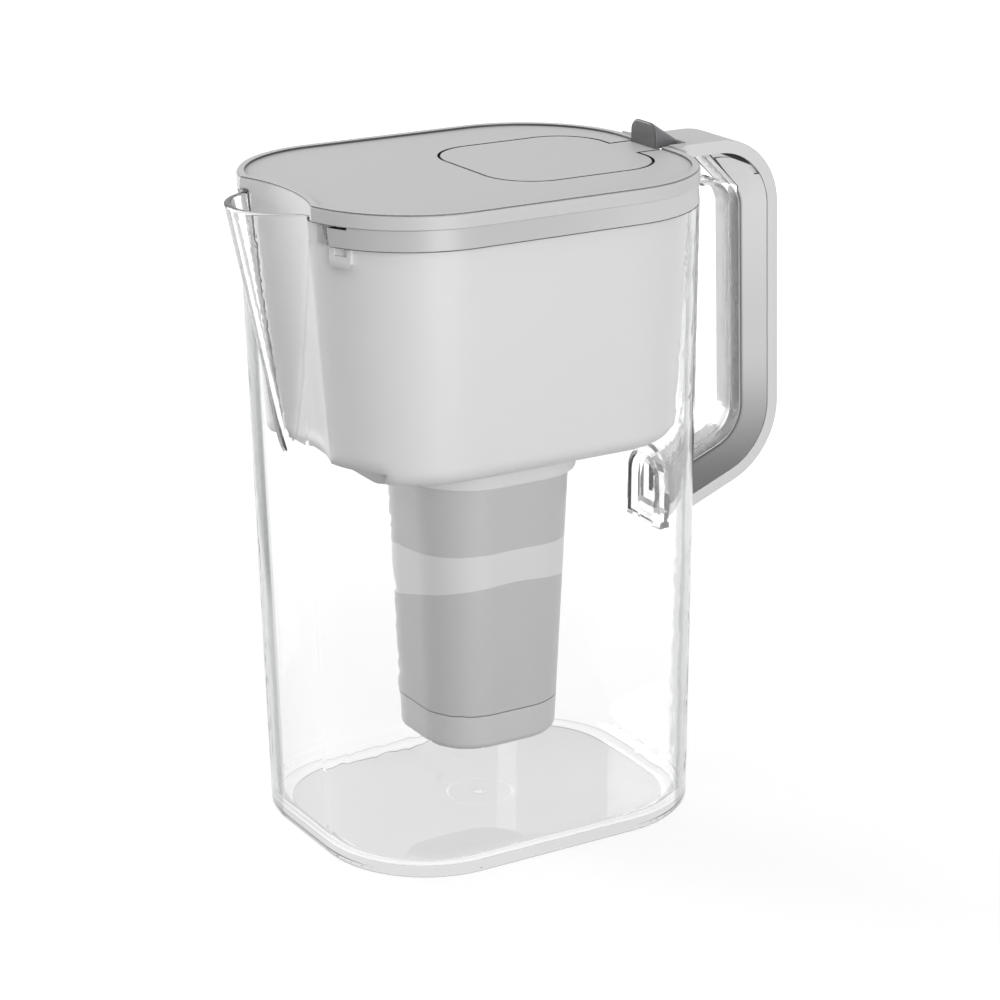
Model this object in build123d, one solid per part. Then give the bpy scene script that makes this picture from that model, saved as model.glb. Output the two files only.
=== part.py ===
from build123d import *
import os
from math import hypot, radians, tan

# Water filter pitcher: clear body with pour spout, handle, reservoir, lid with fill door, filter.
# Frame: origin at the centre of the foot, z = 0 on the table, spout towards -X, handle towards +X.
# All sizes in millimetres.

# clear body: outline at the foot and at the rim
foot_length = 163.0
foot_width = 129.6
foot_corner = 45.8
rim_height = 261.8
rim_length = 171.6
rim_width = 135.4
rim_corner = 49.8
handle_end_lean = 0.4
wall = 2.7
spout_lip_rise = 1.8
spout_lip_gap = 0.3
spout_lip_rounding = 0.7
spout_rim_top_half = 34.8
spout_rim_low_half = 36.8
foot_rounding = 4.0
foot_ring_width = 10.0
foot_recess = 0.6
floor_thickness = 2.8
floor_rounding = 8.0
gate_radius = 2.3
gate_height = 0.3
gate_ring_radius = 13.7
gate_ring_width = 0.8
gate_ring_depth = 0.5

# pour spout, a cone that grows out of the end wall
spout_radius = 23.5
spout_reach = 17.4
spout_drop = 96.8
spout_foot_radius = 9.0
spout_blend = 8.0

# handle: outer face line, seen from the side
handle_rise = 0.4
handle_top_reach = 51.7
handle_low_reach = 56.7
handle_low_z = 131.6
handle_tail_slope = 21.7
handle_top_radius = 29.5
handle_low_radius = 34.0
handle_width = 28.0
cover_rounding = 0.9
cover_skin = 2.2
cover_depth = 5.3
cover_start_gap = 0.3
cover_flare = 9.0
grip_depth = 11.4
grip_inner_width = 20.0
grip_rounding = 2.4
grip_side_inset = 0.3
grip_end_reach = 19.6
grip_gap_depth = 1.9
grip_gap_drop = 16.0
rail_depth = 3.0
rail_inner_width = 14.4
rail_rounding = 1.2
web_width = 9.0
web_depth = 6.7
seat_gap = 0.2

# hollow root that carries the lower end of the handle
root_width = 27.0
root_length = 6.8
root_height = 32.5
root_drop = 4.3
root_wall = 2.4
root_end_gap = 0.3

# reservoir that hangs in the body on its flange
rim_gap = 0.1
flange_height = 5.5
flange_wall = 2.0
flange_web = 0.7
flange_rounding = 0.5
collar_gap = 0.4
collar_wall = 2.0
collar_height = 7.8
band_lean = 0.8
band_wall = 2.0
band_rounding = 0.4
shell_step = 1.2
shell_wall = 2.0
shell_drop = 101.8
shell_bottom_inset = 8.0
shell_rounding = 7.5
front_step_back = 6.4
front_step_rise = 6.0
scallop_half_chord = 27.6
scallop_depth = 5.0
scallop_setback = 6.8
scallop_low_half_chord = 24.0
scallop_low_depth = 4.6
scallop_low_setback = 13.0

# latch tabs in the collar, near the spout: turns in degrees round the rim's corner
latch_turn = 14.0
latch_end_turn = 32.3
latch_slot = 1.0
latch_foot_turn = 21.3
latch_foot_sweep = 11.2
latch_foot_height = 7.8
latch_foot_thickness = 2.4
latch_foot_inset = 0.4
latch_window_sweep = 7.0
latch_window_drop = 0.6
latch_window_height = 3.0
latch_window_depth = 1.2

# lid
lid_lip = 0.5
lid_lip_width = 2.7
lid_lip_rounding = 0.3
lid_edge_inset = 0.5
lid_drop = 1.0
lid_floor = 1.4
lid_side_gap = 0.2
frame_thickness = 1.9
frame_seat = 0.1
skirt_gap = 0.35
skirt_wall = 1.5
skirt_height = 6.5

# fill door, its hinge and its lever
door_setback = 14.6
door_length = 72.5
door_width = 70.4
door_corner = 20.0
door_gap = 1.0
door_skin = 1.1
door_edge_rounding = 0.35
door_ledge = 2.5
door_plate_inset = 3.2
door_plate_thickness = 1.9
door_travel = 45.0
stem_width = 19.6
stem_thickness = 1.5
stem_side_gap = 1.0
stem_end_gap = 0.2
stem_root = 8.0
hinge_setback = 5.5
hinge_drop = 1.9
pin_radius = 1.5
pin_clearance = 0.05
knuckle_radius = 2.8
knuckle_gap = 1.0
ear_thickness = 2.6
ear_gap = 0.4
ear_arm = 6.0
pocket_reach = 8.0
pocket_side_gap = 0.6
lever_offset = 0.6
lever_height = 10.5
lever_width = 18.6
lever_corner = 5.3
lever_length = 13.3
lever_tail_height = 1.6
lever_tail_width = 10.0
lever_edge_rounding = 0.7
lever_clearance = 0.7
lever_side_gap = 1.2

# filter cartridge
filter_x = -1.0
filter_drop = 126.0
filter_length = 59.0
filter_width = 55.6
filter_corner = 20.5
filter_flare_length = 8.8
filter_flare_width = 8.2
filter_flare_corner = 2.7
filter_wall = 2.0
filter_flange = 3.4
filter_flange_thickness = 2.6
filter_cap_height = 15.0
filter_cap_wall = 2.2
filter_cap_rounding = 3.5
cap_seam = 0.5
cap_spigot = 4.0
cap_key_height = 2.0
cap_key_bite = 0.5
outlet_slots = 5
outlet_slot_width = 2.0
outlet_slot_length = 24.0
outlet_slot_pitch = 5.6
socket_depth = 12.5
socket_gap = 0.5
socket_wall = 2.4
socket_flare = 2.0
seal_height = 2.4
seal_drop = 1.2
seal_bite = 0.9
seal_clearance = 0.1
top_cap_height = 9.0
top_cap_wall = 2.0
top_cap_inset = 1.6
top_cap_taper = 5.2
inlet_slots = 7
inlet_slot_width = 2.4
inlet_slot_length = 30.0
inlet_slot_pitch = 6.4
inlet_slot_bridge = 6.4
loop_width = 26.0
loop_height = 15.0
loop_corner = 6.5
loop_thickness = 3.2
loop_bar = 4.0
screen_thickness = 0.8
felt_thickness = 2.0
resin_height = 34.0
media_gap = 0.2

# how far joined solids reach into each other, and cutting solids past what they cut
merge = 0.5
past = 20.0
node_folder = "parts"

# heights worked out from the sizes above
lip_top = rim_height + spout_lip_rise
flange_low = rim_height + rim_gap
flange_top = flange_low + flange_height
lid_top = flange_top + rim_gap + lid_lip
panel_top = lid_top - lid_drop
panel_bottom = panel_top - lid_floor
frame_top = panel_bottom - frame_seat
frame_low = frame_top - frame_thickness
skirt_bottom = frame_top - skirt_height
collar_bottom = rim_height - collar_height
ledge_top = collar_bottom + band_wall
rim_seat = collar_bottom - rim_gap
shell_bottom = rim_height - shell_drop
shell_floor = shell_bottom + shell_wall
seal_top = shell_floor - seal_drop
seal_low = seal_top - seal_height
housing_low = shell_floor + media_gap
housing_top = housing_low + filter_flange_thickness
filter_bottom = shell_bottom - filter_drop
filter_seam = filter_bottom + filter_cap_height
handle_top = lid_top + handle_rise
handle_depth = cover_depth + grip_depth + rail_depth

# places along X
foot_end = foot_length / 2
rim_end = foot_end + handle_end_lean
rim_middle = rim_end - rim_length / 2
spout_end = rim_end - rim_length
handle_top_x = rim_end + handle_top_reach
handle_low_x = rim_end + handle_low_reach
tail_x = foot_end + root_length
tail_z = handle_low_z - (handle_low_x - tail_x) * tan(radians(handle_tail_slope))
root_bottom = tail_z - root_drop
root_top = root_bottom + root_height
door_back = rim_end - door_setback
door_middle = door_back - door_length / 2
hinge_x = rim_end - hinge_setback
hinge_z = frame_top - hinge_drop
lever_front = hinge_x + lever_offset
stem_end = rim_end - wall - stem_end_gap

# insets from the rim's outline, and half widths of the door's hinge
collar_inset = wall + collar_gap
skirt_inset = collar_inset + collar_wall + skirt_gap
knuckle_half = stem_width / 2
hinge_half = knuckle_half + ear_gap + ear_thickness
lever_room_half = lever_width / 2 + lever_side_gap


def share(z):
    """How far z is up the body wall, 0 at the foot and 1 at the rim."""
    return z / rim_height


def between(foot_value, rim_value, z):
    """Value at height z of a size that grows evenly from the foot to the rim."""
    return foot_value + share(z) * (rim_value - foot_value)


def body_outline(z, inset=0.0, at=None):
    """Outline of the body at height z, drawn at height at, moved inwards by inset."""
    plan = RectangleRounded(between(foot_length, rim_length, z) - 2 * inset,
                            between(foot_width, rim_width, z) - 2 * inset,
                            between(foot_corner, rim_corner, z) - inset)
    return Pos(share(z) * rim_middle, 0, z if at is None else at) * plan


def rim_prism(low, high, inset):
    """Upright prism on the rim outline."""
    return extrude(body_outline(rim_height, inset, low), high - low)


def slab(x0, x1, half_width, z0, z1):
    """Box across the middle plane."""
    return Pos((x0 + x1) / 2, 0, (z0 + z1) / 2) * Box(x1 - x0, 2 * half_width, z1 - z0)


def rod(radius, half_length, x, z):
    """Cylinder across the middle plane."""
    return Pos(x, 0, z) * Rot(90, 0, 0) * Cylinder(radius, 2 * half_length)


def edges_at(solid, z):
    """Edges of a solid that lie flat at height z."""
    return [edge for edge in solid.edges().filter_by(Plane.XY) if abs(edge.center().Z - z) < 1e-4]


def spout_end_x(z):
    """Outer face of the spout end wall on the middle plane."""
    return share(z) * rim_middle - between(foot_length, rim_length, z) / 2


def spout_cone(inset):
    """Cone of the spout, grown from the end wall; a positive inset gives its inner face."""
    foot_z = rim_height - spout_drop
    top = Pos(spout_end - spout_reach + spout_radius, 0, lip_top) * Circle(spout_radius - inset)
    foot = Pos(spout_end_x(foot_z) + spout_foot_radius, 0, foot_z) * Circle(spout_foot_radius - inset)
    return loft([foot, top], ruled=True)


def spouted(shape, inset, blend):
    """Body shape joined to the spout's cone with a soft blend along their crease."""
    joined = shape + spout_cone(inset)
    creases = []
    for edge in joined.edges():
        box = edge.bounding_box()
        if box.max.X < spout_end / 2 and box.min.Z > rim_height - spout_drop - merge and box.size.Z > merge:
            creases.append(edge)
    return fillet(creases, blend)


def arc_radius(half_chord, depth):
    """Radius of an arc from its half chord and depth."""
    return (half_chord ** 2 + depth ** 2) / (2 * depth)


low_apex = spout_end_x(shell_bottom) + scallop_low_setback


def scallop(inset):
    """Hollow in the spout end of the reservoir and lid; a positive inset moves it inwards."""
    apex = spout_end + scallop_setback
    slope = (low_apex - apex) / (handle_top - shell_bottom)
    top_radius = arc_radius(scallop_half_chord, scallop_depth)
    low_radius = arc_radius(scallop_low_half_chord, scallop_low_depth)
    top = Pos(apex - slope * past - top_radius, 0, handle_top + past)
    low = Pos(low_apex + slope * past - low_radius, 0, shell_bottom - past)
    return loft([low * Circle(low_radius + inset), top * Circle(top_radius + inset)], ruled=True)


def spout_gate(grow):
    """Room at the spout where the body's rim stands up between the ends of the collar's band."""
    place = Plane(origin=(spout_end - past, 0, 0), x_dir=(0, 1, 0), z_dir=(1, 0, 0))
    slope = (spout_rim_low_half - spout_rim_top_half) / collar_height
    low = collar_bottom - past
    high = rim_height + past
    outline = strip(spout_rim_low_half + slope * past + grow, spout_rim_top_half - slope * past + grow,
                    low, high)
    return extrude(place * outline, past - spout_end)


def handle_path(start_x, end_x):
    """Outer face line of the handle on the middle plane, from the rim to the tail."""
    end_z = handle_low_z - (handle_low_x - end_x) * tan(radians(handle_tail_slope))
    corners = [(start_x, 0, handle_top), (handle_top_x, 0, handle_top),
               (handle_low_x, 0, handle_low_z), (end_x, 0, end_z)]
    return FilletPolyline(*corners, radius=[handle_top_radius, handle_low_radius])


def swept(section, start_x, end_x):
    """Sweep a section along the handle: its x is across the handle, its y is out from the line."""
    place = Plane(origin=(start_x, 0, handle_top), x_dir=(0, 1, 0), z_dir=(1, 0, 0))
    return sweep(place * section, path=handle_path(start_x, end_x))


def strip(half_low, half_high, low, high):
    """Trapezoid section between two heights."""
    return make_face(Polyline(
        (-half_low, low), (half_low, low), (half_high, high), (-half_high, high), close=True))


def arch_prism(width, top, bottom, start_x, end_x):
    """Prism along X with a round-topped section."""
    half = width / 2
    spring = top - half
    outline = make_face([
        Line((-half, bottom), (half, bottom)),
        Line((half, bottom), (half, spring)),
        RadiusArc((half, spring), (-half, spring), -half),
        Line((-half, spring), (-half, bottom)),
    ])
    place = Plane(origin=(start_x, 0, 0), x_dir=(0, 1, 0), z_dir=(1, 0, 0))
    return extrude(place * outline, end_x - start_x)


def swing_room():
    """Space behind the hinge that the stem and the lever pass through as the door opens."""
    stem_radius = hypot(stem_end - hinge_x, panel_top - hinge_z) + seat_gap
    room = rod(stem_radius, lever_room_half, hinge_x, hinge_z)
    radius = hypot(lever_front + lever_length - hinge_x, panel_top + lever_tail_height - hinge_z)
    radius += lever_clearance
    above = Pos(0, 0, panel_top - hinge_z - lever_clearance + radius) * Box(
        4 * radius, 2 * lever_room_half, 2 * radius)
    tilted = Pos(hinge_x, 0, hinge_z) * Rot(0, door_travel, 0) * above
    room += rod(radius, lever_room_half, hinge_x, hinge_z) & tilted
    return room & slab(hinge_x, hinge_x + 2 * radius, lever_room_half, hinge_z - radius, hinge_z + radius)


def handle_web():
    """Clear rail and the upright web that joins it to the cover."""
    rail_top = -(cover_depth + grip_depth + seat_gap)
    rail = strip(rail_inner_width / 2, grip_inner_width / 2, -handle_depth, rail_top)
    rail = fillet(rail.vertices().group_by(Axis.Y)[0], rail_rounding)
    web = strip(web_width / 2, web_width / 2, rail_top - merge, -web_depth)
    start = rim_end - wall / 2
    solid = swept(rail, start, foot_end - wall / 2) + swept(web, start, foot_end - wall / 2)
    fin_end = rim_end + grip_end_reach - seat_gap
    return solid + slab(start, fin_end, web_width / 2, handle_top - handle_depth + merge,
                        handle_top - cover_skin - seat_gap)


def pitcher_body():
    outer = loft([body_outline(0), body_outline(lip_top)], ruled=True)
    outer = fillet(edges_at(outer, 0), foot_rounding)
    floor_z = foot_recess + floor_thickness
    hollow = loft([body_outline(floor_z, wall), body_outline(lip_top, wall)], ruled=True)
    hollow = fillet(edges_at(hollow, floor_z), floor_rounding)
    inside = spouted(hollow, wall, spout_blend + wall)
    body = spouted(outer, 0, spout_blend) - inside
    body = fillet(edges_at(body, lip_top), spout_lip_rounding)
    body -= rim_prism(rim_height, lip_top + merge, -merge) - scallop(-spout_lip_gap)
    body += handle_web() - inside
    body -= rim_prism(rim_seat, lid_top, -seat_gap) - spout_gate(0)
    root_end = tail_x - root_end_gap
    body += arch_prism(root_width, root_top, root_bottom, foot_end - wall, root_end) - inside
    body -= arch_prism(root_width - 2 * root_wall, root_top - root_wall, root_bottom + root_wall,
                       foot_end - 2 * wall, root_end - root_wall)
    body -= extrude(body_outline(0, foot_ring_width), foot_recess)
    body += Pos(0, 0, foot_recess - gate_height / 2) * Cylinder(gate_radius, gate_height)
    ring = Cylinder(gate_ring_radius, 2 * gate_ring_depth)
    ring -= Cylinder(gate_ring_radius - gate_ring_width, 2 * gate_ring_depth)
    return body - Pos(0, 0, foot_recess) * ring - swing_room()


def handle_cover():
    start = rim_end + cover_start_gap
    half = handle_width / 2
    inner_half = half - cover_skin
    section = strip(half, half, -cover_depth, 0)
    section = fillet(section.vertices().group_by(Axis.Y)[-1], cover_rounding)
    section -= strip(inner_half, inner_half, -cover_depth - merge, -cover_skin)
    cover = swept(section, start, tail_x)
    cover -= slab(start - past, tail_x, handle_width, root_bottom - past, root_top + past)
    reach = half + cover_flare
    flare = Pos(start + cover_flare / 2, 0) * Rectangle(cover_flare, 2 * reach)
    for side in (-1, 1):
        flare -= Pos(start + cover_flare, side * reach) * Circle(cover_flare)
    flare = extrude(Pos(0, 0, handle_top - cover_depth) * flare, cover_depth)
    flare -= slab(start - merge, start + 2 * cover_flare, inner_half, rim_height, handle_top - cover_skin)
    flare -= rim_prism(rim_height, handle_top + past, -cover_start_gap)
    return cover + flare - swing_room()


def grip_end_outline():
    """Side outline of what is cut away at the grip's upper end, which slopes at 45 degrees."""
    end_x = rim_end + grip_end_reach
    end_z = handle_top - cover_depth
    inner_x = handle_top_x - cover_depth - grip_depth
    bend_z = handle_top - handle_top_radius
    return make_face(Polyline(
        (tail_x - past, handle_top), (end_x, handle_top), (end_x, end_z),
        (inner_x, end_z - (inner_x - end_x)), (inner_x, bend_z), (tail_x - past, bend_z), close=True))


def handle_grip():
    half = handle_width / 2 - grip_side_inset
    low = -(cover_depth + grip_depth)
    section = strip(grip_inner_width / 2, half, low, -cover_depth - seat_gap)
    section = fillet(section.vertices().group_by(Axis.Y)[0], grip_rounding)
    plug = handle_width / 2 - cover_skin - seat_gap
    section += strip(plug, plug, -cover_depth - seat_gap - merge, -cover_skin - seat_gap)
    slot = web_width / 2 + seat_gap
    section -= strip(slot, slot, low - merge, -web_depth + seat_gap)
    grip = swept(section, tail_x, tail_x)
    grip &= slab(tail_x, handle_low_x + past, handle_width, root_bottom - past, handle_top)
    edge = strip(handle_width, handle_width, -cover_depth - grip_gap_depth, -cover_depth + merge)
    edge -= strip(plug, plug, -handle_depth, 0)
    gap = swept(edge, tail_x, tail_x)
    gap &= slab(tail_x, handle_low_x, handle_width, handle_top - grip_gap_drop, handle_top)
    return grip - gap - extrude(Plane.XZ * grip_end_outline(), handle_width, both=True)


def filter_outline(z, grow=0.0, at=None):
    """Outline of the filter housing at height z, drawn at height at."""
    up = (z - filter_seam) / (shell_bottom - filter_seam)
    plan = RectangleRounded(filter_length + up * filter_flare_length + 2 * grow,
                            filter_width + up * filter_flare_width + 2 * grow,
                            filter_corner + up * filter_flare_corner + grow)
    return Pos(filter_x, 0, z if at is None else at) * plan


def filter_span(low, high, grow=0.0):
    """Solid of the housing's tapered shape between two heights."""
    return loft([filter_outline(low, grow), filter_outline(high, grow)], ruled=True)


def tub(bottom_inset, top_inset, low, rounding, step_x):
    """Tapered shape of the reservoir's shell above a height, with its front strip raised."""
    shape = loft([body_outline(shell_bottom, bottom_inset, low),
                  body_outline(rim_height, top_inset, collar_bottom + merge)], ruled=True)
    shape = fillet(edges_at(shape, low), rounding)
    return shape - slab(step_x - 2 * past, step_x, foot_width, low - past, low + front_step_rise)


def collar_band(inset, low):
    """Leaning outside of the collar that stands on the body's rim, moved inwards by inset."""
    return loft([body_outline(rim_height, inset, low),
                 body_outline(rim_height, inset + band_lean, flange_low + flange_web)], ruled=True)


def collar_block(side, turn, sweep_angle, outer, depth, low, high):
    """Block on the rounded corner of the collar, turned to face out; turn is to its near edge."""
    radius = rim_corner - collar_inset - outer - depth / 2
    across = radians(sweep_angle) * (rim_corner - collar_inset)
    block = Pos(radius, 0, (low + high) / 2) * Box(depth, across, high - low)
    corner = Pos(spout_end + rim_corner, side * (rim_width / 2 - rim_corner), 0)
    return corner * Rot(0, 0, 180 - side * (turn + sweep_angle / 2)) * block


def reservoir():
    outer = fillet(rim_prism(flange_low, flange_top, 0).edges().filter_by(Plane.XY), flange_rounding)
    outer += rim_prism(collar_bottom, flange_low, collar_inset)
    band = collar_band(0, collar_bottom)
    outer += fillet(edges_at(band, collar_bottom), band_rounding) - spout_gate(latch_slot)
    top_inset = collar_inset + shell_step
    outer += tub(shell_bottom_inset, top_inset, shell_bottom, shell_rounding, low_apex + front_step_back)
    inner = rim_prism(flange_low + flange_web, flange_top + merge, flange_wall)
    inner += rim_prism(collar_bottom, ledge_top, top_inset + shell_wall)
    inner += rim_prism(ledge_top, flange_low + flange_web, collar_inset + collar_wall)
    inner += collar_band(band_wall, ledge_top) - spout_gate(latch_slot + band_wall)
    inner += tub(shell_bottom_inset + shell_wall, top_inset + shell_wall, shell_floor,
                 shell_rounding - shell_wall, low_apex + front_step_back + shell_wall)
    tank = outer - scallop(0) - (inner - scallop(shell_wall))
    grown = socket_gap + socket_wall
    socket_low = shell_bottom - socket_depth
    tank += loft([filter_outline(socket_low, grown),
                  filter_outline(shell_bottom, grown + socket_flare, shell_bottom + merge)], ruled=True)
    tank -= filter_span(socket_low - merge, shell_floor + merge, socket_gap)
    tank -= slab(hinge_x - pocket_reach, rim_end - wall, hinge_half + pocket_side_gap,
                 hinge_z - knuckle_radius - knuckle_gap, frame_top + frame_seat)
    tank -= slab(hinge_x - pocket_reach, rim_end + merge, lever_room_half,
                 flange_low - merge, flange_top + merge)
    for side in (-1, 1):
        slot = collar_block(side, latch_turn, latch_end_turn - latch_turn, -collar_inset - merge,
                            collar_inset + collar_wall + merge, flange_low - latch_slot, flange_low)
        tank -= slot - spout_gate(0)
        tank += collar_block(side, latch_foot_turn, latch_foot_sweep, latch_foot_inset,
                             latch_foot_thickness, collar_bottom - latch_foot_height, collar_bottom)
        window_top = collar_bottom - latch_window_drop
        window_turn = latch_foot_turn + (latch_foot_sweep - latch_window_sweep) / 2
        tank -= collar_block(side, window_turn, latch_window_sweep, latch_foot_inset - merge,
                             latch_window_depth + merge, window_top - latch_window_height, window_top)
    return tank


def door_shape(low, high, grow):
    """Door without its stem, grown or shrunk all round."""
    plan = RectangleRounded(door_length + 2 * grow, door_width + 2 * grow, door_corner + grow)
    return extrude(Pos(door_middle, 0, low) * plan, high - low)


def lid_panel():
    tray_inset = flange_wall + lid_side_gap
    lip_inset = lid_edge_inset + lid_lip_width
    lip = rim_prism(flange_top + rim_gap, lid_top, lid_edge_inset) - scallop(lid_edge_inset)
    tray = rim_prism(panel_bottom, lid_top, tray_inset) - scallop(tray_inset)
    lid = lip + tray - (rim_prism(panel_top, lid_top + merge, lip_inset) - scallop(lip_inset))
    lid = fillet(edges_at(lid, lid_top), lid_lip_rounding)
    lid -= door_shape(panel_bottom - merge, panel_top + merge, door_gap)
    return lid - slab(door_back - merge, rim_end + merge, knuckle_half + stem_side_gap,
                      panel_bottom - merge, lid_top + merge)


def lid_frame():
    frame = rim_prism(skirt_bottom, frame_top, skirt_inset) - scallop(shell_wall + skirt_gap)
    frame -= (rim_prism(skirt_bottom - merge, frame_low, skirt_inset + skirt_wall)
              - scallop(shell_wall + skirt_gap + skirt_wall))
    frame -= door_shape(frame_low - merge, frame_top + merge, -door_ledge)
    frame -= slab(door_back - door_ledge - merge, rim_end, knuckle_half + ear_gap,
                  skirt_bottom - merge, frame_top + merge)
    for side in (-1, 1):
        middle = side * (knuckle_half + ear_gap + ear_thickness / 2)
        ear = Pos(hinge_x, middle, hinge_z) * Rot(90, 0, 0) * Cylinder(knuckle_radius, ear_thickness)
        low = hinge_z - pin_radius
        ear += Pos(hinge_x - ear_arm / 2, middle, (low + frame_top) / 2) * Box(
            ear_arm, ear_thickness, frame_top - low)
        frame += ear & slab(0, rim_end, foot_width, skirt_bottom, frame_top)
    return frame - rod(pin_radius, hinge_half + merge, hinge_x, hinge_z)


def door_hinge_pin():
    return rod(pin_radius, hinge_half, hinge_x, hinge_z)


def fill_door():
    skin = door_shape(panel_top - door_skin, panel_top, 0)
    skin += slab(door_middle, stem_end, knuckle_half, panel_top - door_skin, panel_top)
    return fillet(edges_at(skin, panel_top), door_edge_rounding)


def door_plate():
    high = panel_top - door_skin
    plate = door_shape(high - door_plate_thickness, high, -door_plate_inset)
    plate += slab(door_back - stem_root, stem_end, knuckle_half, high - stem_thickness, high)
    knuckle = rod(knuckle_radius, knuckle_half, hinge_x, hinge_z)
    knuckle += slab(hinge_x - knuckle_radius, hinge_x + knuckle_radius, knuckle_half, hinge_z, high)
    plate += knuckle & slab(hinge_x - past, stem_end, knuckle_half, hinge_z - past, high)
    return plate - rod(pin_radius + pin_clearance, stem_width, hinge_x, hinge_z)


def lever_section(x, width, height, corner):
    """Round-topped section of the lever, across the handle at x."""
    outline = strip(width / 2, width / 2, 0, height)
    outline = fillet(outline.vertices().group_by(Axis.Y)[-1], corner)
    return Plane(origin=(x, 0, panel_top), x_dir=(0, 1, 0), z_dir=(1, 0, 0)) * outline


def thumb_lever():
    front = lever_section(lever_front, lever_width, lever_height, lever_corner)
    tail = lever_section(lever_front + lever_length, lever_tail_width, lever_tail_height,
                         lever_tail_height / 2)
    lever = loft([front, tail], ruled=True)
    face = lever.faces().sort_by(Axis.X)[0]
    rounded = [edge for edge in face.edges() if edge.center().Z > panel_top + merge]
    return fillet(rounded, lever_edge_rounding)


def filter_housing():
    body = filter_span(filter_seam + cap_seam, housing_low)
    flange = extrude(filter_outline(shell_floor, filter_flange, housing_low), filter_flange_thickness)
    body += fillet(edges_at(flange, housing_top), filter_flange_thickness / 4)
    body -= filter_span(filter_seam - merge, housing_top + merge, -filter_wall)
    core = filter_span(seal_low - merge, seal_top + merge, -seal_bite)
    return body - (filter_span(seal_low, seal_top, merge) - core)


def filter_seal():
    ring = filter_span(seal_low, seal_top, socket_gap - seal_clearance)
    return ring - filter_span(seal_low - merge, seal_top + merge, -seal_bite)


def filter_bottom_cap():
    cap = filter_span(filter_bottom, filter_seam)
    cap = fillet(edges_at(cap, filter_bottom), filter_cap_rounding)
    cap -= filter_span(filter_bottom + filter_cap_wall, filter_seam + merge, -filter_cap_wall)
    spigot_inset = filter_wall + media_gap
    bore = filter_span(filter_seam - 2 * cap_spigot, filter_seam + 2 * cap_spigot,
                       -spigot_inset - filter_wall)
    cap += filter_span(filter_seam - cap_spigot, filter_seam + cap_spigot, -spigot_inset) - bore
    cap += filter_span(filter_seam - cap_spigot, filter_seam - cap_spigot + cap_key_height,
                       cap_key_bite - filter_cap_wall) - bore
    for place in GridLocations(0, outlet_slot_pitch, 1, outlet_slots):
        cap -= Pos(filter_x, 0, filter_bottom) * place * Box(
            outlet_slot_length, outlet_slot_width, 4 * filter_cap_wall)
    return cap


def filter_top_cap():
    top = housing_top + top_cap_height
    low_grow = filter_flange - top_cap_inset
    cap = loft([filter_outline(shell_floor, low_grow, housing_top),
                filter_outline(shell_floor, low_grow - top_cap_taper, top)], ruled=True)
    cap -= loft([filter_outline(shell_floor, low_grow - top_cap_wall, housing_top),
                 filter_outline(shell_floor, low_grow - top_cap_taper - top_cap_wall,
                                top - top_cap_wall)], ruled=True)
    for place in GridLocations(inlet_slot_pitch, 0, inlet_slots, 1):
        slot = Pos(filter_x, 0, top) * place * Box(
            inlet_slot_width, inlet_slot_length, 4 * top_cap_wall)
        cap -= slot - slab(filter_x - past * 2, filter_x + past * 2, inlet_slot_bridge / 2,
                           top - past, top + past)
    loop = RectangleRounded(loop_width, 2 * loop_height, loop_corner)
    loop -= RectangleRounded(loop_width - 2 * loop_bar, 2 * (loop_height - loop_bar),
                             loop_corner - loop_bar / 2)
    place = Plane(origin=(filter_x, 0, top), x_dir=(1, 0, 0), z_dir=(0, -1, 0))
    ring = extrude(place * loop, loop_thickness / 2, both=True)
    return cap + (ring & slab(filter_x - loop_width, filter_x + loop_width, loop_thickness,
                              top - merge, top + loop_height))


def media_layers():
    """Screens, felts, resin and carbon stacked in the housing: name to low and high."""
    level = filter_seam + cap_spigot + media_gap
    layers = {}
    for name, height in (("outlet_screen", screen_thickness), ("outlet_felt", felt_thickness),
                         ("resin_bed", resin_height), ("divider_felt", felt_thickness)):
        layers[name] = (level, level + height)
        level += height
    felt_low = housing_top - screen_thickness - felt_thickness
    layers["carbon_bed"] = (level, felt_low)
    layers["inlet_felt"] = (felt_low, felt_low + felt_thickness)
    layers["inlet_screen"] = (felt_low + felt_thickness, housing_top)
    return layers


makers = [pitcher_body, handle_cover, handle_grip, reservoir, lid_panel, lid_frame, door_hinge_pin,
          fill_door, door_plate, thumb_lever, filter_housing, filter_seal, filter_bottom_cap,
          filter_top_cap]
parts = {maker.__name__: maker() for maker in makers}
for name, (low, high) in media_layers().items():
    parts[name] = filter_span(low, high, -filter_wall - media_gap)

os.makedirs(node_folder, exist_ok=True)
for name, solid in parts.items():
    export_step(solid, f"{node_folder}/{name}.step")
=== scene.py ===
import bpy
import numpy as np
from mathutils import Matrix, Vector

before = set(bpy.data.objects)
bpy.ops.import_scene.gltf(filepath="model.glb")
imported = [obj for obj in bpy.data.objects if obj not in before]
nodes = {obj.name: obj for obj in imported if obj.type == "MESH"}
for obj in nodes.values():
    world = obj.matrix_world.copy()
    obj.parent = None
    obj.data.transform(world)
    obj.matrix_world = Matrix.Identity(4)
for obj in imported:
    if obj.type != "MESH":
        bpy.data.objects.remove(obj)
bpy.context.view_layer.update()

mm = 0.001
print("frame loaded:", len(nodes), "nodes")


# One sRGB hex string to linear red, green, blue and alpha: the standard curve, channel by channel.
def linear(hexText):
    channels = [int(hexText[i:i + 2], 16) / 255 for i in (1, 3, 5)]
    curve = [c / 12.92 if c <= 0.04045 else ((c + 0.055) / 1.055) ** 2.4 for c in channels]
    return (*curve, 1.0)


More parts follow.
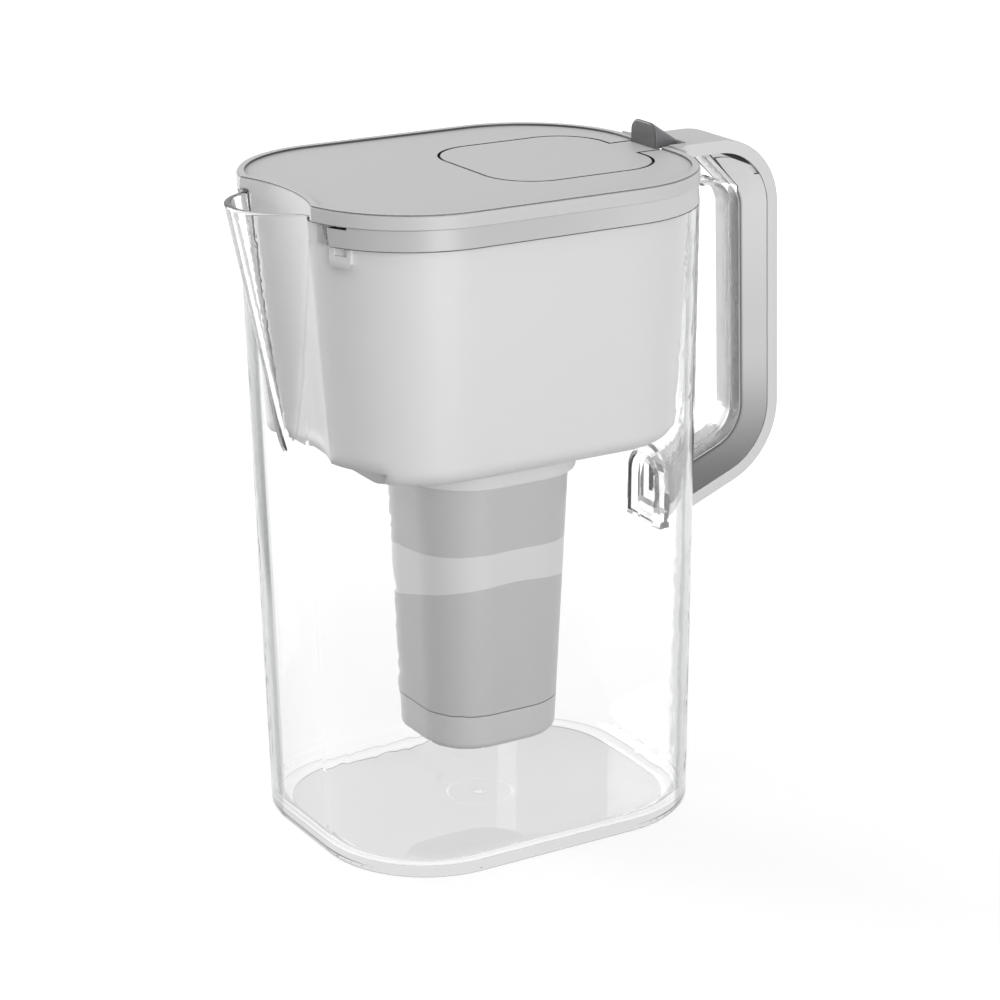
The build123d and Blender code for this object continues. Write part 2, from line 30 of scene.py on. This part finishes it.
# Adds one node: keyword settings go on the node, and inputs are values, or sockets or nodes to link from.
def addNode(tree, kind, inputs=None, **settings):
    node = tree.nodes.new(kind)
    for name, value in settings.items():
        setattr(node, name, value)
    for name, value in (inputs or {}).items():
        if isinstance(value, bpy.types.Node):
            value = value.outputs[0]
        if isinstance(value, bpy.types.NodeSocket):
            tree.links.new(value, node.inputs[name])
        else:
            node.inputs[name].default_value = value
    return node


# An empty node material with its output, ready for nodes.
def startMaterial(name):
    material = bpy.data.materials.new(name)
    material.use_nodes = True
    tree = material.node_tree
    tree.nodes.clear()
    return material, tree, addNode(tree, "ShaderNodeOutputMaterial")


def dress(material, *names):
    for name in names:
        mesh = nodes[name].data
        mesh.materials.clear()
        mesh.materials.append(material)


def finishMaterial(material, tree, out, inputs, *names):
    surface = addNode(tree, "ShaderNodeBsdfPrincipled", inputs)
    tree.links.new(surface.outputs["BSDF"], out.inputs["Surface"])
    dress(material, *names)


# Object coordinates as a vector and its three numbers, in metres.
def places(tree):
    coords = addNode(tree, "ShaderNodeTexCoord").outputs["Object"]
    parts = addNode(tree, "ShaderNodeSeparateXYZ", {"Vector": coords}).outputs
    return coords, parts["X"], parts["Y"], parts["Z"]


# The surface's normal as a vector and its three numbers.
def facings(tree):
    normal = addNode(tree, "ShaderNodeNewGeometry").outputs["Normal"]
    parts = addNode(tree, "ShaderNodeSeparateXYZ", {"Vector": normal}).outputs
    return normal, parts["X"], parts["Y"], parts["Z"]


# A number without its sign, so that both sides of the middle plane are treated alike.
def eitherSide(tree, value):
    return addNode(tree, "ShaderNodeMath", {0: value}, operation="ABSOLUTE")


# Goes from 0 to 1 as a value passes from the first number to the second, with a soft start and end.
def rise(tree, value, first, second):
    return addNode(tree, "ShaderNodeMapRange", {"Value": value, "From Min": first, "From Max": second},
                   interpolation_type="SMOOTHSTEP")


# The same between two places in millimetres.
def fade(tree, value, firstMm, secondMm):
    return rise(tree, value, firstMm * mm, secondMm * mm)


# 1 between two places in millimetres, with ends that fade over a small width on each side.
def zone(tree, value, lowMm, highMm, softMm):
    above = fade(tree, value, lowMm - softMm, lowMm + softMm)
    past = fade(tree, value, highMm - softMm, highMm + softMm)
    return addNode(tree, "ShaderNodeMath", {0: above, 1: past}, operation="SUBTRACT", use_clamp=True)


# Masks put together: their product, 1 where all of them are, or by MAXIMUM 1 where any of them is.
def joined(tree, first, *others, by="MULTIPLY"):
    for other in others:
        first = addNode(tree, "ShaderNodeMath", {0: first, 1: other}, operation=by)
    return first


# 1 where a mask is 0.
def outOf(tree, mask):
    return addNode(tree, "ShaderNodeMath", {0: 1.0, 1: mask}, operation="SUBTRACT")


# Colours laid over each other: each pair is a mask, then the colour that it lets through.
def painted(tree, colour, *layers):
    for mask, over in layers:
        inputs = {0: mask}
        for slot, value in ((6, colour), (7, over)):
            inputs[slot] = linear(value) if isinstance(value, str) else value
        colour = addNode(tree, "ShaderNodeMix", inputs, data_type="RGBA").outputs[2]
    return colour


levelTurn = (0.45, 0.8)   # Z of a normal: under the first a face is upright, over the second it is level


# 1 on upright faces and 0 on level ones, whichever way up.
def uprightFaces(tree):
    up = facings(tree)[3]
    return outOf(tree, rise(tree, eitherSide(tree, up), *levelTurn))


# Fine mould grain: noise, and the normal that its bump of hundredths of a millimetre gives. Real grain is
# finer than a render of the whole pitcher shows, so it is drawn as coarse as it needs to show.
def grain(tree, coords, look):
    noise = addNode(tree, "ShaderNodeTexNoise",
                    {"Vector": coords, "Scale": 1 / (look["grainMm"] * mm), "Detail": 3.0}).outputs["Fac"]
    bump = addNode(tree, "ShaderNodeBump", {"Height": noise, "Distance": look["grainDepthMm"] * mm})
    return noise, bump.outputs["Normal"]


# Clear body: styrene acrylonitrile, injection moulded in a polished tool. It is clear and hard. Its walls
# get a painted grey shade where they are seen along their length, and painted dark shade on some edges and
# steps.
# In all these dictionaries places are in millimetres. Two numbers say where a shade starts and where it is
# full, and three are its low end, its high end and how softly both fade.
clearBody = {
    "tint": "#FEFEFE",
    "ior": 1.42,            # lower than the plastic's own, which is about 1.57, so it bends light less
    "shine": 0.1,           # strength of mirror images in the walls, a fifth of the usual 0.5
    "passing": "#F7F7F7",                           # what lamps' light keeps as it goes through a wall
    "edge": "#AEB0B0", "edgeTurn": (0.585, 0.64),   # painted shade on walls turned away: 0 faces the eye, 1 is edge on
    "edgeEnd": (79.0, 78.0),                        # they stay clear past this X, on the handle's rail
    "spoutEdgeShade": "#606262", "spoutFrom": (-84.0, -85.0),   # painted shade, darker on the spout's edges, by X
    "archShade": "#6A6C6C",                              # painted shade on the thick edge of the hollow in the handle's root
    "archX": (72.0, 76.5, 0.1), "archZ": (118.0, 162.0, 0.5), "archSide": (14.5, 14.0),
    "archTurn": (0.6, 0.4),                         # it is on faces that don't look along X
    "gateShade": "#3A3A3A",                           # painted shade on the ends of the rim by the latches, at the spout's side
    "gateSide": (33.8, 37.6, 0.1), "gateZ": (254.0, 262.5, 0.05), "gateTurn": (0.9, 0.97),
    "underside": "#E6E6E6", "undersideZ": (0.4, 0.8, 0.05),      # painted shadow on the floor of the foot's recess
    "recessEdgeShade": "#5E6060", "recessZ": (-0.5, 0.55, 0.05),      # painted shade on its step, which reads as a grey line
    "bends": 5.5,           # in the floor and the spout's lip a ray turned this often leaves straight
    "bendsBelow": 8.0, "bendsBefore": -88.0,        # they lie under this Z, or past this X
    "straightBelow": 0.9,   # the underside lies on the table, so rays pass it straight
}


def clearPlastic():
    material, tree, out = startMaterial("SAN clear polished moulding")
    x, y, z = places(tree)[1:]
    across, upright = eitherSide(tree, y), uprightFaces(tree)
    normalX, normalY = facings(tree)[1:3]
    turned = addNode(tree, "ShaderNodeLayerWeight", {"Blend": 0.5}).outputs["Facing"]
    edges = joined(tree, rise(tree, turned, *clearBody["edgeTurn"]), fade(tree, x, *clearBody["edgeEnd"]))
    edge = painted(tree, clearBody["edge"],
                   (fade(tree, x, *clearBody["spoutFrom"]), clearBody["spoutEdgeShade"]))
    archShade = joined(tree, zone(tree, x, *clearBody["archX"]), zone(tree, z, *clearBody["archZ"]),
                  fade(tree, across, *clearBody["archSide"]),
                  rise(tree, eitherSide(tree, normalX), *clearBody["archTurn"]))
    gate = joined(tree, zone(tree, across, *clearBody["gateSide"]), zone(tree, z, *clearBody["gateZ"]),
                  rise(tree, eitherSide(tree, normalY), *clearBody["gateTurn"]),
                  addNode(tree, "ShaderNodeMath", {0: x, 1: 0.0}, operation="LESS_THAN"))
    under = joined(tree, outOf(tree, upright), zone(tree, z, *clearBody["undersideZ"]))
    recess = joined(tree, upright, zone(tree, z, *clearBody["recessZ"]))
    # painted shadow on the recess floor and painted shade on its step, on the surface and in light passing
    # through
    foot = (under, clearBody["underside"]), (recess, clearBody["recessEdgeShade"])
    shell = addNode(tree, "ShaderNodeBsdfPrincipled", {
        "Base Color": painted(tree, clearBody["tint"], (edges, edge), (archShade, clearBody["archShade"]),
                              (gate, clearBody["gateShade"]), *foot),
        "Roughness": 0.0, "IOR": clearBody["ior"], "Transmission Weight": 1.0,
        "Specular IOR Level": clearBody["shine"]})
    air = addNode(tree, "ShaderNodeBsdfTransparent", {"Color": painted(tree, clearBody["passing"], *foot)})

    # lamps and bounced light go straight through, so that what stands inside is lit as it is outside
    path = addNode(tree, "ShaderNodeLightPath").outputs
    low, before, table = (clearBody[key] * mm for key in ("bendsBelow", "bendsBefore", "straightBelow"))
    thick = joined(tree, addNode(tree, "ShaderNodeMath", {0: z, 1: low}, operation="LESS_THAN"),
                   addNode(tree, "ShaderNodeMath", {0: x, 1: before}, operation="LESS_THAN"), by="MAXIMUM")
    often = addNode(tree, "ShaderNodeMath", {0: path["Ray Depth"], 1: clearBody["bends"]},
                    operation="GREATER_THAN")
    onTable = addNode(tree, "ShaderNodeMath", {0: z, 1: table}, operation="LESS_THAN")
    straight = joined(tree, path["Is Shadow Ray"], path["Is Diffuse Ray"], joined(tree, often, thick),
                      onTable, by="MAXIMUM")
    both = addNode(tree, "ShaderNodeMixShader", {0: straight, 1: shell, 2: air})
    tree.links.new(both.outputs[0], out.inputs["Surface"])
    dress(material, "pitcher_body")


# Reservoir: polypropylene, white, moulded satin. Soft highlights with a fine even grain.
reservoirLook = {
    "light": "#E6E6E6", "dark": "#E0E0E0",
    "flange": "#C7C7C7", "flangeFrom": (262.0, 262.3),          # painted shade on the outside of the flange, by Z
    "bandShadeNear": "#BCBCBC", "bandShadeFar": "#D2D2D2", "bandReach": (-20.0, 72.0),   # painted shade on the collar's band, lighter along X
    "bandFrom": (253.5, 253.8),                                 # its lower edge, by Z
    "bandPast": (-60.0, -58.0), "bandSide": (29.0, 30.0),       # both spare the scalloped front, by X and Y
    "collarShadow": "#8E8E8E", "collarShadowZ": (253.2, 254.25, 0.06),  # painted shadow line under the collar
    "collarShadowPast": (-50.0, -48.0), "collarShadowSide": (36.0, 38.0),
    "slotShade": "#050505", "slotZ": (260.75, 262.0, 0.02),      # painted shade inside the latch tabs' slots
    "slotEnd": (-60.0, -62.0),                                  # they lie at the spout's end, by X
    "softEdge": 9.0, "softSamples": 8,                          # radius on the scallop's long edges
    "softBelow": (249.0, 247.0), "softBefore": (-58.0, -62.0),  # only there, by Z and X
    "roughness": 0.36, "grainMm": 0.7, "grainDepthMm": 0.004,
}


def whiteReservoir():
    look = reservoirLook
    material, tree, out = startMaterial("Polypropylene white satin moulding")
    coords, x, y, z = places(tree)
    across = eitherSide(tree, y)
    noise, normal = grain(tree, coords, look)
    rounded = addNode(tree, "ShaderNodeBevel", {"Radius": look["softEdge"] * mm},
                      samples=look["softSamples"])
    scallop = joined(tree, fade(tree, z, *look["softBelow"]), fade(tree, x, *look["softBefore"]))
    normal = addNode(tree, "ShaderNodeMix", {0: scallop, 4: normal, 5: rounded},
                     data_type="VECTOR").outputs[1]
    outside = joined(tree, fade(tree, x, *look["bandPast"]), fade(tree, across, *look["bandSide"]),
                     by="MAXIMUM")
    band = painted(tree, look["bandShadeNear"], (fade(tree, x, *look["bandReach"]), look["bandShadeFar"]))
    slot = joined(tree, outOf(tree, uprightFaces(tree)), zone(tree, z, *look["slotZ"]),
                  fade(tree, x, *look["slotEnd"]))
    alongside = joined(tree, fade(tree, across, *look["collarShadowSide"]), fade(tree, x, *look["collarShadowPast"]),
                       by="MAXIMUM")
    line = joined(tree, zone(tree, z, *look["collarShadowZ"]), alongside)
    # painted shade on the flange, the collar's band and the slots, and a painted shadow line under the
    # collar
    colour = painted(tree, look["dark"], (noise, look["light"]),
                     (joined(tree, fade(tree, z, *look["bandFrom"]), outside), band),
                     (joined(tree, fade(tree, z, *look["flangeFrom"]), outside), look["flange"]),
                     (slot, look["slotShade"]), (line, look["collarShadow"]))
    finishMaterial(material, tree, out, {
        "Base Color": colour, "Roughness": look["roughness"], "Normal": normal}, "reservoir")


# Lid, door and handle cover: ABS with silver grey colour, spark eroded. Fine even grain, no metal flake.
silver = {
    "light": "#DADADB", "dark": "#D3D3D4",
    "lipEdgeShade": "#747476",          # painted shade on the outer upright faces of the lip
    "lipGrooveShade": "#4A4A4C",        # painted shade on its inner ones, in its groove
    "lipTurn": (-1.0, 1.0),        # an upright face looks inwards or outwards
    "doorGapShade": "#060606",          # painted shade on faces inside the door's gap
    "gapTop": (267.06, 266.98),    # under this Z an upright face lies in the gap
    "doorRound": (0.99, 0.93),     # Z of the normal on the door's rounded rim, which gets the same painted shade
    "roughness": 0.46, "grainMm": 0.55, "grainDepthMm": 0.02,
}


def silverPlastic(name, piece):
    material, tree, out = startMaterial(name)
    coords, z = places(tree)[::3]
    noise, normal = grain(tree, coords, silver)
    colour = painted(tree, silver["dark"], (noise, silver["light"]))
    # painted shade on the lip's upright faces, in the door's gap and on the door's rounded rim
    if piece != "handle_cover":
        facing, up = facings(tree)[::3]
        away = addNode(tree, "ShaderNodeVectorMath", {0: facing, 1: coords}, operation="DOT_PRODUCT")
        outwards = fade(tree, away.outputs["Value"], *silver["lipTurn"])
        shade = painted(tree, silver["lipGrooveShade"], (outwards, silver["lipEdgeShade"]),
                        (fade(tree, z, *silver["gapTop"]), silver["doorGapShade"]))
        colour = painted(tree, colour, (uprightFaces(tree), shade))
        if piece == "fill_door":
            colour = painted(tree, colour, (rise(tree, up, *silver["doorRound"]), silver["doorGapShade"]))
            normal = facing   # the door shows the grain's tone without its bump
    finishMaterial(material, tree, out, {
        "Base Color": colour, "Roughness": silver["roughness"], "Normal": normal}, piece)


# Hidden pieces of the lid: polypropylene, moulded, matt. Their near-black colour is painted shade, so that
# the door's gap reads as a dark line.
lidUnderside = {"light": "#1E1E1F", "dark": "#161617", "roughness": 0.55,
                "grainMm": 0.8, "grainDepthMm": 0.02}


def darkLidFrame():
    material, tree, out = startMaterial("Polypropylene moulding near black as painted shade")
    noise, normal = grain(tree, places(tree)[0], lidUnderside)
    finishMaterial(material, tree, out, {
        "Base Color": painted(tree, lidUnderside["dark"], (noise, lidUnderside["light"])),
        "Roughness": lidUnderside["roughness"], "Normal": normal}, "lid_frame", "door_plate")


# Handle grip: thermoplastic rubber, grey, moulded over a white core. A matt skin, with painted shade that
# darkens it towards the bottom.
# The core behind the clear rail is drawn partly as metal, which keeps it bright to the eye.
grip = {
    "low": "#696969", "middle": "#D0D0D0", "high": "#DCDCDC",
    "lowToMiddle": (120.0, 180.0), "middleToHigh": (185.0, 245.0),   # painted shade, the skin lighter towards the top, by Z
    "innerEdgeShade": "#303030", "innerTurn": (0.98, 0.6),   # painted shade on the rounding towards the fingers, by Y of the normal
    "core": "#FFFFFF", "coreMirror": 0.8, "coreSide": (9.3, 9.9),    # the skin starts outside this
    "gap": "#0A0A0A",                                   # painted shade in the crescent under the cover
    "gapSide": (11.3, 11.9, 0.05), "sideTurn": (0.9, 0.99),     # on the grip's side, by place and normal
    "floorTurn": (0.3, 0.35),                           # and on faces that look up, by Z of the normal
    "gapLine": ((105.0, 263.2), (127.0, 254.0)),        # X and Z of two places on its lower line
    "gapSoft": (-0.1, 0.1),
    "roughness": 0.62, "grainMm": 0.5, "grainDepthMm": 0.02,
}


def rubberGrip():
    material, tree, out = startMaterial("TPE grey soft touch overmoulding")
    coords, x, y, z = places(tree)
    normalY, normalZ = facings(tree)[2:]
    across, flank = eitherSide(tree, y), eitherSide(tree, normalY)
    (startX, startZ), (endX, endZ) = grip["gapLine"]
    slope = (endZ - startZ) / (endX - startX)
    line = addNode(tree, "ShaderNodeMath", {0: x, 1: slope, 2: (startZ - slope * startX) * mm},
                   operation="MULTIPLY_ADD")
    overLine = addNode(tree, "ShaderNodeMath", {0: z, 1: line}, operation="SUBTRACT")
    side = joined(tree, zone(tree, across, *grip["gapSide"]), rise(tree, flank, *grip["sideTurn"]))
    gap = joined(tree, side, rise(tree, normalZ, *grip["floorTurn"]), by="MAXIMUM")
    gap = joined(tree, gap, fade(tree, overLine, *grip["gapSoft"]))
    # painted shade: the skin darker towards the bottom, on its inner rounding and in the crescent under the
    # cover
    skin = painted(tree, grip["low"], (fade(tree, z, *grip["lowToMiddle"]), grip["middle"]),
                   (fade(tree, z, *grip["middleToHigh"]), grip["high"]),
                   (rise(tree, flank, *grip["innerTurn"]), grip["innerEdgeShade"]), (gap, grip["gap"]))
    onSkin = fade(tree, across, *grip["coreSide"])
    mirror = joined(tree, outOf(tree, onSkin), grip["coreMirror"])
    finishMaterial(material, tree, out, {
        "Base Color": painted(tree, grip["core"], (onSkin, skin)), "Metallic": mirror,
        "Roughness": grip["roughness"], "Normal": grain(tree, coords, grip)[1]}, "handle_grip")


# Thumb lever: ABS, grey, moulded satin. Its front, where the thumb pushes, is darker as painted shade.
lever = {"side": "#68686A", "front": "#3E3E40",
         "frontTurn": (-0.95, -0.6),   # X of the normal, from the front to the sides
         "roughness": 0.36, "grainMm": 0.6, "grainDepthMm": 0.01}


def greyLever():
    material, tree, out = startMaterial("ABS grey satin moulding")
    coords, normalX = places(tree)[0], facings(tree)[1]
    colour = painted(tree, lever["front"], (rise(tree, normalX, *lever["frontTurn"]), lever["side"]))
    finishMaterial(material, tree, out, {
        "Base Color": colour, "Roughness": lever["roughness"],
        "Normal": grain(tree, coords, lever)[1]}, "thumb_lever")


# Filter cartridge: polypropylene, light grey, moulded, with a paler printed wave that runs round it.
cartridge = {
    "body": "#BCBCBD", "wave": "#DCDCDD", "cap": "#C6C6C7",
    "axisX": -1.0, "turn": np.radians(92.0),    # where the wave's axis stands, and its highest place
    "bottom": (96.2, 9.0), "top": (116.0, 3.0),         # middle height of each edge, and how far it swings
    "soft": (-0.15, 0.15),
    "roughness": 0.3, "gloss": 0.9, "grainMm": 0.7, "grainDepthMm": 0.004,
}


# The wave lies between two edges, each its middle height plus its swing times the cosine of the angle.
def printedWave(tree, x, y, z):
    fromAxis = addNode(tree, "ShaderNodeMath", {0: x, 1: cartridge["axisX"] * mm}, operation="SUBTRACT")
    angle = addNode(tree, "ShaderNodeMath", {0: y, 1: fromAxis}, operation="ARCTAN2")
    angle = addNode(tree, "ShaderNodeMath", {0: angle, 1: cartridge["turn"]}, operation="ADD")
    swing = addNode(tree, "ShaderNodeMath", {0: angle}, operation="COSINE")
    sides = []
    for middle, reach in (cartridge["bottom"], cartridge["top"]):
        edge = addNode(tree, "ShaderNodeMath", {0: swing, 1: reach * mm, 2: middle * mm},
                       operation="MULTIPLY_ADD")
        height = addNode(tree, "ShaderNodeMath", {0: z, 1: edge}, operation="SUBTRACT")
        sides.append(fade(tree, height, *cartridge["soft"]))
    return addNode(tree, "ShaderNodeMath", {0: sides[0], 1: sides[1]}, operation="SUBTRACT", use_clamp=True)


def greyCartridge(name, piece):
    material, tree, out = startMaterial(name)
    coords, x, y, z = places(tree)
    colour = linear(cartridge["cap"])
    if piece == "filter_housing":
        colour = painted(tree, cartridge["body"], (printedWave(tree, x, y, z), cartridge["wave"]))
    finishMaterial(material, tree, out, {
        "Base Color": colour, "Roughness": cartridge["roughness"], "Specular IOR Level": cartridge["gloss"],
        "Normal": grain(tree, coords, cartridge)[1]}, piece)


# Inner mouldings: polypropylene cap, acetal pin and silicone seal, each one colour with a faint grain.
mouldings = {
    "cap": ("#E4E4E4", 0.4), "pin": ("#DADAD6", 0.3), "seal": ("#D2D4D4", 0.5),   # colour, roughness
    "grainMm": 0.7, "grainDepthMm": 0.01,
}


def plainInner(name, key, piece):
    material, tree, out = startMaterial(name)
    colour, roughness = mouldings[key]
    normal = grain(tree, places(tree)[0], mouldings)[1]
    finishMaterial(material, tree, out, {
        "Base Color": linear(colour), "Roughness": roughness, "Normal": normal}, piece)


# Packings: pressed felt, woven mesh, resin beads and carbon granules. Cells as wide as a bead or granule,
# darker between; the felt's and the mesh's are drawn coarser than their threads, so that they show.
packings = {   # light, dark, cell in millimetres, roughness, depth in millimetres
    "felt": ("#E8E6E0", "#D8D6CE", 0.35, 0.9, 0.1), "screen": ("#E0E0DE", "#9C9C9A", 0.9, 0.6, 0.2),
    "resin": ("#C8913C", "#7C5218", 0.7, 0.35, 0.3), "carbon": ("#232323", "#080808", 1.1, 0.85, 0.4),
    "between": 1.4,   # the higher, the more of a cell counts as between
}


def loosePacking(name, key, *pieces):
    material, tree, out = startMaterial(name)
    light, dark, sizeMm, roughness, depthMm = packings[key]
    cells = addNode(tree, "ShaderNodeTexVoronoi", {"Vector": places(tree)[0], "Scale": 1 / (sizeMm * mm)})
    far = addNode(tree, "ShaderNodeMath", {0: cells.outputs["Distance"], 1: packings["between"]},
                  operation="MULTIPLY", use_clamp=True)
    bump = addNode(tree, "ShaderNodeBump", {"Height": outOf(tree, far), "Distance": depthMm * mm})
    finishMaterial(material, tree, out, {
        "Base Color": painted(tree, light, (far, dark)), "Roughness": roughness,
        "Normal": bump.outputs["Normal"]}, *pieces)


clearPlastic()
whiteReservoir()
silverPlastic("ABS silver spark eroded lid", "lid_panel")
silverPlastic("ABS silver spark eroded door", "fill_door")
silverPlastic("ABS silver spark eroded cover", "handle_cover")
darkLidFrame()
rubberGrip()
greyLever()
greyCartridge("Polypropylene grey moulding with printed wave", "filter_housing")
greyCartridge("Polypropylene grey moulding", "filter_bottom_cap")
plainInner("Polypropylene white moulding", "cap", "filter_top_cap")
plainInner("Acetal natural turned", "pin", "door_hinge_pin")
plainInner("Silicone translucent moulding", "seal", "filter_seal")
loosePacking("Polyester felt pressed", "felt", "outlet_felt", "divider_felt", "inlet_felt")
loosePacking("Nylon mesh woven", "screen", "outlet_screen", "inlet_screen")
loosePacking("Resin amber beads", "resin", "resin_bed")
loosePacking("Carbon black granules", "carbon", "carbon_bed")
print("materials made:", len(bpy.data.materials))

# Camera at the photograph's angle: places, lens and sensor in millimetres.
cameraFit = {"place": (-575.9, -971.7, 515.4), "aim": (-12.2, -36.97, 143.2), "lens": 106.55, "sensor": 36.0}


def makeCamera():
    eye = bpy.data.objects.new("camera", bpy.data.cameras.new("camera"))
    bpy.context.scene.collection.objects.link(eye)
    eye.location = Vector(cameraFit["place"]) * mm
    sight = Vector(cameraFit["aim"]) * mm - eye.location
    eye.rotation_euler = sight.to_track_quat("-Z", "Y").to_euler()
    eye.data.lens = cameraFit["lens"]
    eye.data.sensor_width = cameraFit["sensor"]
    bpy.context.scene.camera = eye


# Studio: a white room, with a floor that glows for the eye only and keeps the shadow. Sizes in metres.
studio = {
    "floorSize": 8.0, "floor": "#A0A0A0",
    "glowNear": 0.75, "glowFar": 1.0, "glowReach": (0.15, 0.7),   # strengths, and how far from the middle
    "backdrop": "#FFFFFF", "ambient": "#FFFFFF", "ambientStrength": 0.42,
    "lampAim": (0.0, 0.0, 0.14),
    "lamps": [  # name, place, width, height, watts
        ("right", (-0.13, -1.55, 0.45), 0.6, 0.9, 15.5),
        ("left", (-0.74, 1.35, 0.5), 0.6, 1.2, 19.0),
        ("top", (0.0, 0.1, 1.6), 1.0, 1.0, 1.0),
    ],
}


# 1 for rays that show the background: from the camera, off gloss and through clear walls.
def seenDirectly(tree):
    path = addNode(tree, "ShaderNodeLightPath").outputs
    return joined(tree, path["Is Camera Ray"], path["Is Glossy Ray"], path["Is Transmission Ray"],
                  by="MAXIMUM")


def makeFloor():
    corners = studio["floorSize"] / 2 * np.array([(-1, -1, 0), (1, -1, 0), (1, 1, 0), (-1, 1, 0)])
    mesh = bpy.data.meshes.new("floor")
    mesh.from_pydata(corners.tolist(), [], [(0, 1, 2, 3)])
    plane = bpy.data.objects.new("floor", mesh)
    bpy.context.scene.collection.objects.link(plane)
    material, tree, out = startMaterial("Paper white backdrop")
    far = addNode(tree, "ShaderNodeVectorMath", {0: places(tree)[0]}, operation="LENGTH").outputs["Value"]
    glow = addNode(tree, "ShaderNodeMapRange", {
        "Value": far, "From Min": studio["glowReach"][0], "From Max": studio["glowReach"][1],
        "To Min": studio["glowNear"], "To Max": studio["glowFar"]}, interpolation_type="SMOOTHSTEP")
    strength = joined(tree, glow, seenDirectly(tree))
    paper = addNode(tree, "ShaderNodeBsdfDiffuse", {"Color": linear(studio["floor"])})
    light = addNode(tree, "ShaderNodeEmission", {"Color": linear(studio["backdrop"]), "Strength": strength})
    both = addNode(tree, "ShaderNodeAddShader", {0: paper, 1: light})
    tree.links.new(both.outputs[0], out.inputs["Surface"])
    mesh.materials.append(material)


def makeLamps():
    for name, place, width, height, watts in studio["lamps"]:
        data = bpy.data.lights.new(name, "AREA")
        data.shape = "RECTANGLE"
        data.size, data.size_y, data.energy = width, height, watts
        lamp = bpy.data.objects.new(name, data)
        bpy.context.scene.collection.objects.link(lamp)
        lamp.location = place
        aim = Vector(studio["lampAim"]) - lamp.location
        lamp.rotation_euler = aim.to_track_quat("-Z", "Y").to_euler()


def makeWorld():
    world = bpy.data.worlds.new("studio")
    bpy.context.scene.world = world
    world.use_nodes = True
    tree = world.node_tree
    tree.nodes.clear()
    out = addNode(tree, "ShaderNodeOutputWorld")
    fill = addNode(tree, "ShaderNodeBackground", {
        "Color": linear(studio["ambient"]), "Strength": studio["ambientStrength"]})
    white = addNode(tree, "ShaderNodeBackground", {"Color": linear(studio["backdrop"]), "Strength": 1.0})
    mix = addNode(tree, "ShaderNodeMixShader", {0: seenDirectly(tree), 1: fill, 2: white})
    tree.links.new(mix.outputs[0], out.inputs["Surface"])


makeCamera()
makeFloor()
makeLamps()
makeWorld()
bpy.context.scene.view_settings.view_transform = "Standard"
print("studio made")
